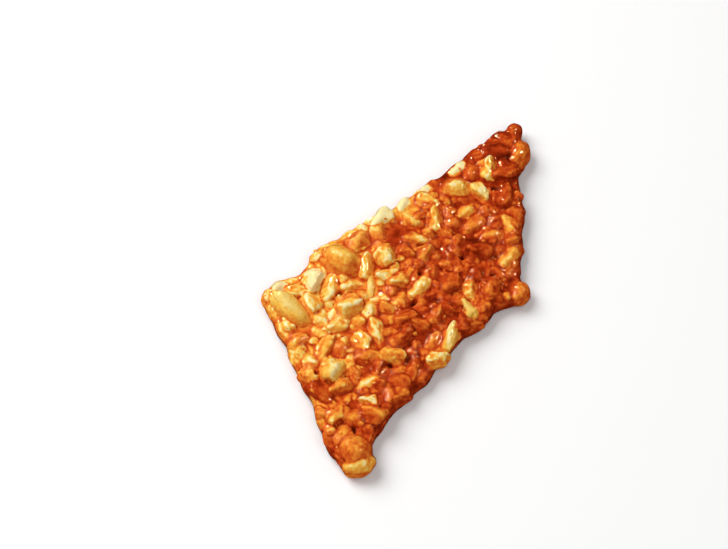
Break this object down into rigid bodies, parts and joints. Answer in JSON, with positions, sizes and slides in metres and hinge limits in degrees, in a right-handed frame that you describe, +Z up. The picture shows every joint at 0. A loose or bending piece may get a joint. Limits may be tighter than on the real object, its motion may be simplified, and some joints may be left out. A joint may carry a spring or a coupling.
{
  "type": "nut brittle piece",
  "caption": "Broken shard of nut brittle: a thin flat-bottomed slab of amber caramel crowded with chopped nuts that stand out of its top and its broken edges.",
  "frame": {"origin": "on the flat underside, under the middle of the shard's bounding box", "axes": "+Z up out of the nutty top, +Y along the shard's long way towards its upper right point, +X across it"},
  "size_m": [0.0782, 0.1112, 0.0098],
  "materials": {
    "caramel_and_nuts": "wet gloss, hard clear caramel over chopped nuts"
  },
  "bodies": {
    "root": {"brittle": "caramel_and_nuts"}
  },
  "joints": []
}
